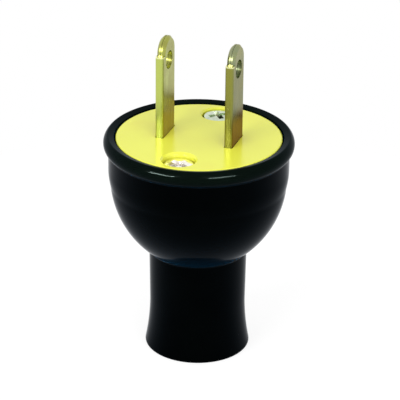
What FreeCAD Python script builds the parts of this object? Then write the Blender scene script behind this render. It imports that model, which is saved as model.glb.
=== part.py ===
import FreeCAD, Part
import math
import os
import re
import Sketcher

# Rewirable plug with two flat blades, 125 V class: a black moulded body with a screwed-in yellow face.
# Millimetres. +Z runs along the blades, the origin is the centre of the cord end, X runs across
# the two blades and Y along the line of the two assembly screws.

SIZES = [
    ("face_height", 40.45, "outer side of the face above the cord end"),
    ("lip_rise", 0.4, "crest of the body's lip above the face"),
    ("rim_rise", 0.05, "inner rim of the lip above the face"),
    ("lip_overhang", 0.85, "how far the lip stands out past the band"),
    ("lip_round", 1.85, "radius of the lip's round section"),
    ("lip_drop", 1.1, "middle of that section below the face"),
    ("lip_crest_round", 0.4, "rounding of the lip's crest"),
    ("lip_root_round", 0.35, "rounding where the lip meets the band"),
    ("band_wall", 1.03, "wall of the band around the face"),
    ("band_length", 6.0, "depth of the band's foot below the face"),
    ("band_taper", 3.0, "height of the rounded taper under the band"),
    ("bowl_step", 0.3, "step from the band in to the bowl"),
    ("bowl_round", 17.6, "radius of the bowl's arc"),
    ("bowl_centre_depth", 7.5, "depth of the bowl arc's centre below the face"),
    ("neck_spread", 0.15, "how far the neck widens from its waist up to the bowl"),
    ("neck_root_round", 0.6, "rounding between bowl and neck"),
    ("waist_radius", 8.6, "narrowest radius of the neck"),
    ("waist_height", 8.95, "height of the neck's waist"),
    ("base_flare", 0.92, "how far the neck widens from its waist down to the cord end"),
    ("base_round", 0.4, "rounding of the cord end's rim"),
    ("wall", 2.4, "wall of the bowl"),
    ("cord_bore", 4.8, "radius of the cord hole"),
    ("mouth_round", 0.8, "rounding of the cord hole's mouth"),
    ("boss_wall", 1.0, "wall of a screw boss around its insert"),
    ("boss_floor", 0.5, "floor of a screw boss"),
    ("face_gap", 0.3, "gap around the face in the body"),
    ("face_radius", 14.67, "radius of the face"),
    ("face_thickness", 4.0, "thickness of the face"),
    ("face_edge_round", 0.3, "rounding of the face's outer edge"),
    ("recess_gap", 0.25, "gap around a screw head in its recess"),
    ("front_sink", 0.75, "how far the front screw's head lies below the face"),
    ("rear_sink", 0.15, "how far the rear screw's head lies below the face"),
    ("recess_chamfer", 0.3, "chamfer on a recess's rim"),
    ("screw_edge", 4.02, "assembly screw from the edge of the face"),
    ("fit_gap", 0.05, "gap around a piece in its slot or hole"),
    ("blade_spacing", 12.7, "distance between the blades' middles"),
    ("blade_width", 6.35, "width of a blade"),
    ("blade_length", 17.8, "length of a blade above the face"),
    ("leaf_thickness", 0.72, "sheet that a blade is folded from"),
    ("leaf_gap", 0.06, "gap between a blade's two leaves"),
    ("fold_round", 0.45, "outer rounding of a blade's folded edge"),
    ("nose_ledge", 0.75, "step from the folded edge in to the nose"),
    ("nose_chamfer", 0.45, "chamfer around the nose"),
    ("blade_hole", 1.65, "radius of the hole in a blade"),
    ("blade_hole_height", 13.65, "hole above the face"),
    ("leaf_foot", 1.4, "how far the short leaf reaches behind the face"),
    ("tail_shoulder", 1.0, "how far a blade's tail stands out past each edge"),
    ("tail_margin", 3.5, "length of a tail past its terminal screw"),
    ("tail_round", 1.2, "rounding of the tail's corners"),
    ("terminal_depth", 7.5, "terminal screw behind the face plate's back"),
    ("collar_wall", 0.95, "wall of the threaded collar on a blade's tail"),
    ("collar_length", 1.2, "length of that collar"),
    ("block_thickness", 3.0, "plate of the terminal block"),
    ("block_gap", 0.35, "gap around the terminal block"),
    ("barrier_thickness", 2.8, "wall between the two poles"),
    ("barrier_gap", 1.4, "gap from that wall to a screw boss"),
    ("barrier_drop", 8.0, "drop of that wall under the block's plate"),
    ("barrier_round", 0.8, "rounding of that wall's end"),
    ("stake_radius", 1.0, "staked post behind the face"),
    ("stake_edge", 2.35, "staked post from the edge of the terminal block"),
    ("stake_head_rim", 0.6, "rim of a post's flattened head"),
    ("stake_head_height", 0.7, "height of that head"),
    ("thread_gap", 0.03, "gap between a screw and its thread"),
    ("screw_radius", 1.42, "assembly screw's shank"),
    ("screw_length", 8.0, "assembly screw under its head"),
    ("screw_head_radius", 2.65, "assembly screw's head"),
    ("screw_head_height", 1.75, "height of that head"),
    ("screw_head_round", 0.35, "rounding of that head"),
    ("screw_point", 0.5, "chamfer at the screw's end"),
    ("cross_span", 3.1, "span of the head's cross recess"),
    ("cross_width", 0.8, "width of a wing of the cross"),
    ("cross_depth", 1.1, "depth of the cross"),
    ("cross_taper", 8.0, "draft of the cross's walls, in degrees"),
    ("insert_wall", 0.65, "wall of a threaded insert"),
    ("insert_length", 6.0, "length of that insert"),
    ("insert_groove", 0.3, "depth of the groove around the insert"),
    ("insert_groove_width", 1.4, "width of that groove"),
    ("tip_room", 1.4, "room past the end of an assembly screw"),
    ("binding_radius", 1.72, "terminal screw's shank"),
    ("binding_length", 4.0, "terminal screw under its head"),
    ("binding_head_radius", 3.2, "terminal screw's head"),
    ("binding_head_height", 1.6, "height of that head"),
    ("binding_head_round", 0.6, "rounding of that head"),
    ("slot_width", 0.9, "driver slot of a terminal screw"),
    ("slot_depth", 0.8, "depth of that slot"),
]

document = FreeCAD.newDocument("plug")
sheet = document.addObject("Spreadsheet::Sheet", "Sizes")
for row, (alias, number, meaning) in enumerate(SIZES, start=1):
    sheet.set(f"A{row}", meaning)
    sheet.set(f"B{row}", str(number))
    sheet.setAlias(f"B{row}", alias)
document.recompute()

# Heights and radii that follow from the sheet, as formulas of its names.
SEAT = "(face_height - face_thickness)"
POCKET_RADIUS = "(face_radius + face_gap)"
BAND_RADIUS = f"({POCKET_RADIUS} + band_wall)"
LIP_CENTRE_RADIUS = f"({BAND_RADIUS} + lip_overhang - lip_round)"
LIP_CENTRE_HEIGHT = "(face_height - lip_drop)"
LIP_FOOT = f"({LIP_CENTRE_HEIGHT} - sqrt(lip_round^2 - (lip_round - lip_overhang)^2))"
CREST_HEIGHT = "(face_height + lip_rise)"
CREST_RADIUS = f"({LIP_CENTRE_RADIUS} + sqrt(lip_round^2 - (lip_drop + lip_rise)^2))"
RIM_HEIGHT = "(face_height + rim_rise)"
BAND_FOOT = "(face_height - band_length)"
CREASE_HEIGHT = "(face_height - band_length - band_taper)"
BOWL_CENTRE = "(face_height - bowl_centre_depth)"
BOWL_WIDEST = f"({BAND_RADIUS} - bowl_step)"
BOWL_OFFSET = f"(bowl_round - {BOWL_WIDEST})"
CREASE_RADIUS = f"(sqrt(bowl_round^2 - ({BOWL_CENTRE} - {CREASE_HEIGHT})^2) - {BOWL_OFFSET})"
NECK_TOP_RADIUS = "(waist_radius + neck_spread)"
NECK_TOP = f"({BOWL_CENTRE} - sqrt(bowl_round^2 - ({NECK_TOP_RADIUS} + {BOWL_OFFSET})^2))"
BASE_RADIUS = "(waist_radius + base_flare)"
CHAMBER_RADIUS = f"({BOWL_WIDEST} - wall)"
CHAMBER_ROUND = "(bowl_round - wall)"
CHAMBER_FLOOR = f"({BOWL_CENTRE} - sqrt({CHAMBER_ROUND}^2 - (cord_bore + {BOWL_OFFSET})^2))"
SCREW_OFFSET = "(face_radius - screw_edge)"
RECESS_RADIUS = "(screw_head_radius + recess_gap)"
RECESS_FLOOR = {
    -1: "(face_height - front_sink - screw_head_height)",
    1: "(face_height - rear_sink - screw_head_height)",
}
INSERT_BORE = "(screw_radius + thread_gap)"
INSERT_RADIUS = f"({INSERT_BORE} + insert_wall)"
INSERT_FOOT = f"({SEAT} - insert_length)"
BOSS_RADIUS = f"({INSERT_RADIUS} + fit_gap + boss_wall)"
BLOCK_BACK = f"({SEAT} - block_thickness)"
BLOCK_RADIUS = f"({CHAMBER_RADIUS} - block_gap)"
STAKE_OFFSET = f"({BLOCK_RADIUS} - stake_edge)"
STAKE_HEAD_RADIUS = "(stake_radius + stake_head_rim)"
BLADE_THICKNESS = "(2 * leaf_thickness + leaf_gap)"
BLADE_TIP = "(face_height + blade_length)"
BLADE_OUTSIDE = f"(blade_spacing / 2 + {BLADE_THICKNESS} / 2)"
BLADE_INSIDE = f"(blade_spacing / 2 - {BLADE_THICKNESS} / 2)"
NOSE_RADIUS = "((blade_width - nose_ledge) / 2)"
NOSE_FOOT = f"({BLADE_TIP} - {NOSE_RADIUS})"
LEAF_FOOT = f"({SEAT} - leaf_foot)"
TAIL_REACH = "(blade_width / 2 + tail_shoulder)"
TERMINAL_HEIGHT = f"({SEAT} - terminal_depth)"
TAIL_FOOT = f"({TERMINAL_HEIGHT} - tail_margin)"


def bound(formula):
    """The formula with each of the sheet's names written as the sheet's own cell."""
    return re.sub(r"\b[a-z][a-z_]+\b(?!\()", r"Sizes.\g<0>", formula)


def value(formula):
    """The formula's number at the sheet's present sizes."""
    return float(sheet.evalExpression(bound(formula)))


def point(across, up):
    """A sketch point at the formulas' present numbers."""
    return FreeCAD.Vector(value(across), value(up), 0)


def arc_rise(run, step):
    """Radius of an arc that starts square to its step and reaches it over the run."""
    return f"(({run})^2 + ({step})^2) / (2 * ({step}))"


def new_body(label):
    body = document.addObject("PartDesign::Body", label)
    body.Label = label
    return body


def new_sketch(body, name, role, raised="0"):
    """A sketch on one of the body's own origin planes, moved along the plane's normal."""
    sketch = body.newObject("Sketcher::SketchObject", name)
    plane = next(item for item in body.Origin.OriginFeatures if item.Role == role)
    sketch.AttachmentSupport = (plane, "")
    sketch.MapMode = "FlatFace"
    sketch.setExpression("AttachmentOffset.Base.z", bound(raised))
    return sketch


def pin_point(sketch, edge, end, place):
    """Holds one point of a sketch at a place given by two formulas."""
    for kind, axis, formula in (("DistanceX", -2, place[0]), ("DistanceY", -1, place[1])):
        if formula == "0":
            sketch.addConstraint(Sketcher.Constraint("PointOnObject", edge, end, axis))
        else:
            rule = Sketcher.Constraint(kind, -1, 1, edge, end, value(formula))
            sketch.setExpression(f"Constraints[{sketch.addConstraint(rule)}]", bound(formula))


def pin_radius(sketch, edge, formula):
    rule = Sketcher.Constraint("Radius", edge, value(formula))
    sketch.setExpression(f"Constraints[{sketch.addConstraint(rule)}]", bound(formula))


def draw_outline(sketch, corners):
    """A closed outline. A corner is (x, y), or (x, y, radius, side) where an arc leaves it:
    side 1 has the arc's centre on the left of the way along the outline, side -1 on its right."""
    points = [point(corner[0], corner[1]) for corner in corners]
    ends = []
    for index, corner in enumerate(corners):
        start = points[index]
        stop = points[(index + 1) % len(points)]
        if len(corner) == 2:
            edge = sketch.addGeometry(Part.LineSegment(start, stop))
            ends.append((edge, 1, 2))
            continue
        radius = value(corner[2])
        chord = stop - start
        left = FreeCAD.Vector(-chord.y, chord.x, 0).normalize()
        reach = math.sqrt(max(radius ** 2 - (chord.Length / 2) ** 2, 0))
        centre = (start + stop) / 2 + left * (corner[3] * reach)
        turns = [math.atan2(end.y - centre.y, end.x - centre.x) for end in (start, stop)]
        circle = Part.Circle(centre, FreeCAD.Vector(0, 0, 1), radius)
        edge = sketch.addGeometry(Part.ArcOfCircle(circle, *turns[::corner[3]]))
        ends.append((edge, 1, 2) if corner[3] == 1 else (edge, 2, 1))
    for index, (edge, first, last) in enumerate(ends):
        following = ends[(index + 1) % len(ends)]
        sketch.addConstraint(Sketcher.Constraint("Coincident", edge, last, following[0], following[1]))
        pin_point(sketch, edge, first, corners[index])
        if len(corners[index]) > 2:
            pin_radius(sketch, edge, corners[index][2])


def draw_box(sketch, left, right, low, high):
    draw_outline(sketch, [(left, low), (right, low), (right, high), (left, high)])


def draw_circle(sketch, across, up, radius):
    circle = Part.Circle(point(across, up), FreeCAD.Vector(0, 0, 1), value(radius))
    edge = sketch.addGeometry(circle)
    pin_point(sketch, edge, 3, (across, up))
    pin_radius(sketch, edge, radius)


def feature(body, kind, name, sketch, **settings):
    """A sketch-based feature. A formula setting is bound to the sheet, and a feature that
    leaves the volume as it was is a fault."""
    before = body.Shape.Volume if body.Tip and not body.Shape.isNull() else 0
    made = body.newObject(f"PartDesign::{kind}", name)
    made.Profile = sketch
    for setting, given in settings.items():
        if isinstance(given, str) and setting in ("Length", "TaperAngle"):
            made.setExpression(setting, bound(given))
        else:
            setattr(made, setting, given)
    document.recompute()
    if abs(body.Shape.Volume - before) < 1e-6:
        raise RuntimeError(f"{name} changes nothing")
    return made


def dress(body, kind, name, size_name, formula, wanted):
    """A fillet or chamfer on the edges of the body that the test picks."""
    base = body.Tip
    edges = [f"Edge{index}" for index, edge in enumerate(base.Shape.Edges, start=1) if wanted(edge)]
    made = body.newObject(f"PartDesign::{kind}", name)
    made.Base = (base, edges)
    made.setExpression(size_name, bound(formula))
    document.recompute()
    if not edges or "Up-to-date" not in made.State:
        raise RuntimeError(f"{name} failed on {len(edges)} edges")


def near(number, formula):
    return abs(number - value(formula)) < 1e-4


def ring_at(radius, height):
    """A test for whole circular edges of this radius at this height."""
    def test(edge):
        curve = edge.Curve
        return isinstance(curve, Part.Circle) and near(curve.Radius, radius) and near(curve.Center.z, height)
    return test


def revolved(body, name, corners):
    sketch = new_sketch(body, f"{name}_section", "XZ_Plane")
    draw_outline(sketch, corners)
    return feature(body, "Revolution", name, sketch, ReferenceAxis=(sketch, ["V_Axis"]), Angle=360)


def placed(body, across="0", along="0", up="0"):
    for axis, formula in (("x", across), ("y", along), ("z", up)):
        body.setExpression(f".Placement.Base.{axis}", bound(formula))


def new_cylinder(name, side, radius, foot):
    """A cylinder on an assembly screw's axis, from its foot up to the face's seat."""
    cylinder = document.addObject("Part::Cylinder", name)
    cylinder.setExpression("Radius", bound(radius))
    cylinder.setExpression("Height", bound(f"{SEAT} - {foot}"))
    placed(cylinder, along=f"{side} * {SCREW_OFFSET}", up=foot)
    return cylinder


def make_body_shell():
    """Outer form with its lip, band, bowl and neck, less the space for face, wiring and cord."""
    outer = new_body("shell_outside")
    flare = arc_rise("waist_height", "base_flare")
    taper = arc_rise("band_taper", f"{BAND_RADIUS} - {CREASE_RADIUS}")
    revolved(outer, "outside", [
        ("0", "0"),
        (BASE_RADIUS, "0", flare, -1),
        ("waist_radius", "waist_height"),
        (NECK_TOP_RADIUS, NECK_TOP, "bowl_round", 1),
        (CREASE_RADIUS, CREASE_HEIGHT, taper, 1),
        (BAND_RADIUS, BAND_FOOT),
        (BAND_RADIUS, LIP_FOOT, "lip_round", 1),
        (CREST_RADIUS, CREST_HEIGHT),
        (POCKET_RADIUS, RIM_HEIGHT),
        ("0", RIM_HEIGHT),
    ])
    dress(outer, "Fillet", "base_rim", "Radius", "base_round", ring_at(BASE_RADIUS, "0"))
    dress(outer, "Fillet", "neck_root", "Radius", "neck_root_round", ring_at(NECK_TOP_RADIUS, NECK_TOP))
    dress(outer, "Fillet", "lip_root", "Radius", "lip_root_round", ring_at(BAND_RADIUS, LIP_FOOT))
    dress(outer, "Fillet", "lip_crest", "Radius", "lip_crest_round", ring_at(CREST_RADIUS, CREST_HEIGHT))

    inner = new_body("shell_inside")
    revolved(inner, "inside", [
        ("0", "-mouth_round"),
        ("cord_bore + mouth_round", "-mouth_round"),
        ("cord_bore + mouth_round", "0", "mouth_round", -1),
        ("cord_bore", "mouth_round"),
        ("cord_bore", CHAMBER_FLOOR, CHAMBER_ROUND, 1),
        (CHAMBER_RADIUS, BOWL_CENTRE),
        (CHAMBER_RADIUS, SEAT),
        (POCKET_RADIUS, SEAT),
        (POCKET_RADIUS, CREST_HEIGHT),
        ("0", CREST_HEIGHT),
    ])

    space = inner
    bores = []
    for side, end in ((-1, "front"), (1, "rear")):
        tip_floor = f"({RECESS_FLOOR[side]} - screw_length - tip_room)"
        boss = new_cylinder(f"boss_{end}", side, BOSS_RADIUS, f"({tip_floor} - boss_floor)")
        beside = document.addObject("Part::Cut", f"space_beside_boss_{end}")
        beside.Base = space
        beside.Tool = boss
        space = beside
        bores.append(new_cylinder(f"insert_pocket_{end}", side, f"{INSERT_RADIUS} + fit_gap", INSERT_FOOT))
        bores.append(new_cylinder(f"tip_room_{end}", side, "screw_radius + 2 * fit_gap", tip_floor))

    hollow = document.addObject("Part::MultiFuse", "shell_hollow")
    hollow.Shapes = [space] + bores
    shell = document.addObject("Part::Cut", "body_shell")
    shell.Base = outer
    shell.Tool = hollow
    document.recompute()
    return shell


def make_face_plate():
    """Yellow face: a disc with slots and screw recesses, and two posts staked over the block."""
    body = new_body("face_plate")
    disc = new_sketch(body, "disc", "XY_Plane", SEAT)
    draw_circle(disc, "0", "0", "face_radius")
    feature(body, "Pad", "plate", disc, Length="face_thickness")
    dress(body, "Fillet", "outer_edge", "Radius", "face_edge_round", ring_at("face_radius", "face_height"))

    slots = new_sketch(body, "blade_slots", "XY_Plane", "face_height")
    holes = new_sketch(body, "screw_holes", "XY_Plane", "face_height")
    for side in (-1, 1):
        half = f"({BLADE_THICKNESS} / 2 + fit_gap)"
        middle = f"{side} * blade_spacing / 2"
        reach = "(blade_width / 2 + fit_gap)"
        draw_box(slots, f"{middle} - {half}", f"{middle} + {half}", f"-{reach}", reach)
        draw_circle(holes, "0", f"{side} * {SCREW_OFFSET}", "screw_radius + 2 * fit_gap")
    feature(body, "Pocket", "slots", slots, Type="ThroughAll")
    for side, end in ((-1, "front"), (1, "rear")):
        recess = new_sketch(body, f"recess_outline_{end}", "XY_Plane", "face_height")
        draw_circle(recess, "0", f"{side} * {SCREW_OFFSET}", RECESS_RADIUS)
        feature(body, "Pocket", f"recess_{end}", recess, Length=f"face_height - {RECESS_FLOOR[side]}")
    feature(body, "Pocket", "holes", holes, Type="ThroughAll")
    dress(body, "Chamfer", "recess_rims", "Size", "recess_chamfer", ring_at(RECESS_RADIUS, "face_height"))

    posts = new_sketch(body, "post_outlines", "XY_Plane", SEAT)
    heads = new_sketch(body, "head_outlines", "XY_Plane", BLOCK_BACK)
    for side in (-1, 1):
        draw_circle(posts, f"{side} * {STAKE_OFFSET}", "0", "stake_radius")
        draw_circle(heads, f"{side} * {STAKE_OFFSET}", "0", STAKE_HEAD_RADIUS)
    feature(body, "Pad", "posts", posts, Length="block_thickness", Reversed=True)
    feature(body, "Pad", "stake_heads", heads, Length="stake_head_height", Reversed=True)
    dress(body, "Fillet", "stake_rims", "Radius", "stake_head_height / 2",
          ring_at(STAKE_HEAD_RADIUS, f"{BLOCK_BACK} - stake_head_height"))
    return body


def make_terminal_block():
    """Carrier behind the face: seats the blades' short leaves and walls off the two poles."""
    body = new_body("terminal_block")
    disc = new_sketch(body, "disc", "XY_Plane", BLOCK_BACK)
    draw_circle(disc, "0", "0", BLOCK_RADIUS)
    feature(body, "Pad", "plate", disc, Length="block_thickness")

    barrier = new_sketch(body, "barrier_outline", "XY_Plane", BLOCK_BACK)
    barrier_reach = f"({SCREW_OFFSET} - {BOSS_RADIUS} - barrier_gap)"
    draw_box(barrier, "-barrier_thickness / 2", "barrier_thickness / 2", f"-{barrier_reach}", barrier_reach)
    feature(body, "Pad", "barrier", barrier, Length="barrier_drop", Reversed=True)
    barrier_end = f"{BLOCK_BACK} - barrier_drop"
    dress(body, "Fillet", "barrier_edges", "Radius", "barrier_round",
          lambda edge: all(near(vertex.Z, barrier_end) for vertex in edge.Vertexes))

    bosses = new_sketch(body, "boss_room", "XY_Plane", SEAT)
    posts = new_sketch(body, "post_holes", "XY_Plane", SEAT)
    tails = new_sketch(body, "tail_slots", "XY_Plane", SEAT)
    leaves = new_sketch(body, "leaf_seats", "XY_Plane", SEAT)
    for side in (-1, 1):
        draw_circle(bosses, "0", f"{side} * {SCREW_OFFSET}", f"{BOSS_RADIUS} + block_gap")
        draw_circle(posts, f"{side} * {STAKE_OFFSET}", "0", "stake_radius + fit_gap")
        outside = f"{side} * ({BLADE_OUTSIDE} + fit_gap)"
        tail = [f"{side} * ({BLADE_OUTSIDE} - leaf_thickness - fit_gap)", outside]
        draw_box(tails, *tail[::side], f"-({TAIL_REACH} + fit_gap)", f"{TAIL_REACH} + fit_gap")
        leaf = [f"{side} * ({BLADE_INSIDE} - fit_gap)", outside]
        draw_box(leaves, *leaf[::side], "-(blade_width / 2 + fit_gap)", "blade_width / 2 + fit_gap")
    feature(body, "Pocket", "boss_scallops", bosses, Type="ThroughAll")
    feature(body, "Pocket", "post_bores", posts, Type="ThroughAll")
    feature(body, "Pocket", "tail_openings", tails, Type="ThroughAll")
    feature(body, "Pocket", "leaf_pockets", leaves, Length="leaf_foot")
    return body


def make_blade(side, label):
    """Brass sheet folded along its front edge: two leaves up to the nose, and one long tail
    behind the face with a threaded collar for the wire's screw."""
    body = new_body(label)
    outside = f"{side} * {BLADE_OUTSIDE}"
    inside = f"{side} * {BLADE_INSIDE}"
    back = "blade_width / 2"
    front = "-blade_width / 2"
    fold = new_sketch(body, "fold", "XY_Plane", LEAF_FOOT)
    draw_outline(fold, [
        (inside, f"{back} - nose_chamfer"),
        (inside, f"{front} + fold_round", "fold_round", side),
        (f"{inside} + {side} * fold_round", front),
        (f"{outside} - {side} * fold_round", front, "fold_round", side),
        (outside, f"{front} + fold_round"),
        (outside, f"{back} - nose_chamfer"),
        (f"{outside} - {side} * nose_chamfer", back),
        (f"{outside} - {side} * leaf_thickness", back),
        (f"{outside} - {side} * leaf_thickness", f"{front} + leaf_thickness"),
        (f"{inside} + {side} * leaf_thickness", f"{front} + leaf_thickness"),
        (f"{inside} + {side} * leaf_thickness", back),
        (f"{inside} + {side} * nose_chamfer", back),
    ])
    feature(body, "Pad", "leaves", fold, Length=f"{BLADE_TIP} - {LEAF_FOOT}")

    nose = new_sketch(body, "nose_trim", "YZ_Plane")
    beyond = "nose_ledge"
    draw_outline(nose, [
        (f"{front} - {beyond}", NOSE_FOOT),
        (f"{front} + nose_ledge", NOSE_FOOT, NOSE_RADIUS, -1),
        ("nose_ledge / 2", BLADE_TIP, NOSE_RADIUS, -1),
        (back, NOSE_FOOT),
        (f"{back} + {beyond}", NOSE_FOOT),
        (f"{back} + {beyond}", f"{BLADE_TIP} + {beyond}"),
        (f"{front} - {beyond}", f"{BLADE_TIP} + {beyond}"),
    ])
    feature(body, "Pocket", "nose", nose, Type="ThroughAll", SideType="Symmetric")

    bevel = new_sketch(body, "nose_bevel", "XZ_Plane", "-nose_ledge / 2")
    axle = bevel.addGeometry(Part.LineSegment(point(inside, NOSE_FOOT), point(outside, NOSE_FOOT)), True)
    pin_point(bevel, axle, 1, (inside, NOSE_FOOT))
    pin_point(bevel, axle, 2, (outside, NOSE_FOOT))
    for flat, way in ((inside, -side), (outside, side)):
        draw_outline(bevel, [
            (f"{flat} + {way} * nose_chamfer", f"{BLADE_TIP} - 2 * nose_chamfer"),
            (f"{flat} + {way} * nose_chamfer", f"{BLADE_TIP} + nose_chamfer"),
            (f"{flat} - {way} * 2 * nose_chamfer", f"{BLADE_TIP} + nose_chamfer"),
        ])
    feature(body, "Groove", "nose_rims", bevel, ReferenceAxis=(bevel, ["Axis0"]), Angle=180, Midplane=True)

    tail = new_sketch(body, "tail_outline", "YZ_Plane", f"{outside} - {side} * leaf_thickness")
    draw_outline(tail, [
        (f"-{TAIL_REACH}", SEAT),
        (f"-{TAIL_REACH}", f"{TAIL_FOOT} + tail_round", "tail_round", 1),
        (f"-{TAIL_REACH} + tail_round", TAIL_FOOT),
        (f"{TAIL_REACH} - tail_round", TAIL_FOOT, "tail_round", 1),
        (TAIL_REACH, f"{TAIL_FOOT} + tail_round"),
        (TAIL_REACH, SEAT),
    ])
    feature(body, "Pad", "tail", tail, Length="leaf_thickness", Reversed=side < 0)

    collar = new_sketch(body, "collar_outline", "YZ_Plane", f"{outside} - {side} * leaf_thickness")
    draw_circle(collar, "0", TERMINAL_HEIGHT, "binding_radius + thread_gap + collar_wall")
    feature(body, "Pad", "collar", collar, Length="collar_length", Reversed=side > 0)

    holes = new_sketch(body, "holes_outline", "YZ_Plane")
    draw_circle(holes, "0", "face_height + blade_hole_height", "blade_hole")
    draw_circle(holes, "0", TERMINAL_HEIGHT, "binding_radius + thread_gap")
    feature(body, "Pocket", "holes", holes, Type="ThroughAll", SideType="Symmetric")
    return body


def screw_section(radius, length, head_radius, head_height, head_round, point):
    """Section of a round-edged head on a shank, with the seat under the head at height 0."""
    return [
        ("0", f"-({length})"),
        (f"{radius} - {point}", f"-({length})"),
        (radius, f"{point} - {length}"),
        (radius, "0"),
        (head_radius, "0"),
        (head_radius, f"{head_height} - {head_round}", head_round, 1),
        (f"{head_radius} - {head_round}", head_height),
        ("0", head_height),
    ]


def make_assembly_screw(side, label):
    """Plated machine screw with a cross recess, down through the face into its insert."""
    body = new_body(label)
    revolved(body, "blank", screw_section("screw_radius", "screw_length", "screw_head_radius",
                                          "screw_head_height", "screw_head_round", "screw_point"))
    cross = new_sketch(body, "cross_outline", "XY_Plane", "screw_head_height")
    reach = "cross_span / 2"
    half = "cross_width / 2"
    draw_outline(cross, [
        (half, half), (half, reach), (f"-{half}", reach), (f"-{half}", half),
        (f"-{reach}", half), (f"-{reach}", f"-{half}"), (f"-{half}", f"-{half}"), (f"-{half}", f"-{reach}"),
        (half, f"-{reach}"), (half, f"-{half}"), (reach, f"-{half}"), (reach, half),
    ])
    feature(body, "Pocket", "cross", cross, Length="cross_depth", TaperAngle="-cross_taper")
    placed(body, along=f"{side} * {SCREW_OFFSET}", up=RECESS_FLOOR[side])
    return body


def make_threaded_insert(side, label):
    """Turned brass insert, grooved around so that the boss holds it, flush with the boss's seat."""
    body = new_body(label)
    groove_low = "(insert_length - insert_groove_width) / 2"
    groove_high = "(insert_length + insert_groove_width) / 2"
    revolved(body, "turned", [
        (INSERT_BORE, "0"),
        (INSERT_RADIUS, "0"),
        (INSERT_RADIUS, groove_low),
        (f"{INSERT_RADIUS} - insert_groove", groove_low),
        (f"{INSERT_RADIUS} - insert_groove", groove_high),
        (INSERT_RADIUS, groove_high),
        (INSERT_RADIUS, "insert_length"),
        (INSERT_BORE, "insert_length"),
    ])
    placed(body, along=f"{side} * {SCREW_OFFSET}", up=INSERT_FOOT)
    return body


def make_terminal_screw(side, label):
    """Slotted binding screw through the collar of a blade's tail, its head on the outer side."""
    body = new_body(label)
    revolved(body, "blank", screw_section("binding_radius", "binding_length", "binding_head_radius",
                                          "binding_head_height", "binding_head_round", "screw_point"))
    slot = new_sketch(body, "slot_outline", "XY_Plane", "binding_head_height")
    draw_box(slot, "-slot_width / 2", "slot_width / 2",
             "-(binding_head_radius + fit_gap)", "binding_head_radius + fit_gap")
    feature(body, "Pocket", "slot", slot, Length="slot_depth")
    body.Placement = FreeCAD.Placement(FreeCAD.Vector(), FreeCAD.Rotation(FreeCAD.Vector(0, 1, 0), 90 * side))
    placed(body, across=f"{side} * {BLADE_OUTSIDE}", up=TERMINAL_HEIGHT)
    return body


pieces = [make_body_shell(), make_face_plate(), make_terminal_block()]
for side, name in ((-1, "left"), (1, "right")):
    pieces.append(make_blade(side, f"blade_{name}"))
    pieces.append(make_terminal_screw(side, f"terminal_screw_{name}"))
for side, name in ((-1, "front"), (1, "rear")):
    pieces.append(make_assembly_screw(side, f"assembly_screw_{name}"))
    pieces.append(make_threaded_insert(side, f"threaded_insert_{name}"))
document.recompute()

for item in document.Objects:
    if "Invalid" in item.State or "Error" in item.State:
        raise RuntimeError(f"{item.Name} failed: {item.State}")
for piece in pieces:
    if piece.Shape.isNull() or not piece.Shape.isValid() or len(piece.Shape.Solids) != 1:
        raise RuntimeError(f"{piece.Label} is not one sound solid")

os.makedirs("parts", exist_ok=True)
for piece in pieces:
    piece.Shape.exportStep(f"parts/{piece.Label}.step")
    print(f"{piece.Label}: {piece.Shape.Volume:.1f} mm3")
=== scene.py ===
import math

import bmesh
import bpy
from mathutils import Matrix, Quaternion, Vector


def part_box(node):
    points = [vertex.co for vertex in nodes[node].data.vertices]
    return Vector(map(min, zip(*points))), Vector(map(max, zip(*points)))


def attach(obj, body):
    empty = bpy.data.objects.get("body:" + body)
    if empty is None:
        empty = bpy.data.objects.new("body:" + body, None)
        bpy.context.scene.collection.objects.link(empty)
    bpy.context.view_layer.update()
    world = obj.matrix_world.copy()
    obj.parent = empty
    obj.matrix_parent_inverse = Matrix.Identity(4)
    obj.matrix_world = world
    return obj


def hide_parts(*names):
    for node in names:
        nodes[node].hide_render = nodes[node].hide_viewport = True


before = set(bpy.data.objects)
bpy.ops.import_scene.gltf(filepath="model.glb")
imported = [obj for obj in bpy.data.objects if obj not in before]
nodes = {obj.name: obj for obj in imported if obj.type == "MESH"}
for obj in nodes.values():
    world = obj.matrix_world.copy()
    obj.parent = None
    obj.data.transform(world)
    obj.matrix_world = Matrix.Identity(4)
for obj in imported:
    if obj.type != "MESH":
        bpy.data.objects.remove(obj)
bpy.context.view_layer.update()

# Body shell: one deep moulding with a rolled lip, a bowl and a waisted neck for the cord.
# It is injection-moulded from black ABS in a polished mould, so it comes out glossy all over.
# Two bosses grow from its wall to take the screws that hold everything else.

MM = 0.001
FACE_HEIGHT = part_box("face_plate")[1].z / MM
SEAT_HEIGHT = FACE_HEIGHT - 4.0
POCKET_RADIUS = 14.97
BAND_RADIUS = 16.0
BAND_FOOT = FACE_HEIGHT - 6.0
BAND_TAPER = 3.0
LIP_ROUND = 1.85
LIP_MIDDLE = (15.0, FACE_HEIGHT - 1.1)
LIP_RISE = 0.4
RIM_RISE = 0.05
BOWL_ROUND = 17.6
BOWL_WIDEST = 15.7
BOWL_MIDDLE = (BOWL_WIDEST - BOWL_ROUND, FACE_HEIGHT - 7.5)
NECK_TOP_RADIUS = 8.75
WAIST_RADIUS = 8.6
WAIST_HEIGHT = 8.95
BASE_FLARE = 0.92
BASE_ROUND = 0.4
ROOT_ROUND = 0.6
LIP_FOOT_ROUND = 0.35
CREST_ROUND = 0.4
WALL = 2.4
CORD_BORE = 4.8
MOUTH_ROUND = 0.8
SCREW_OFFSET = 10.65
BOSS_RADIUS = 3.15
BOSS_DROP = 0.02
BOSS_FLOOR = 0.5
INSERT_POCKET = 2.15
INSERT_FOOT = SEAT_HEIGHT - 6.0
TIP_POCKET = 1.52
SCREW_SEATS = {"front": FACE_HEIGHT - 2.5, "rear": FACE_HEIGHT - 1.9}
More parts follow.
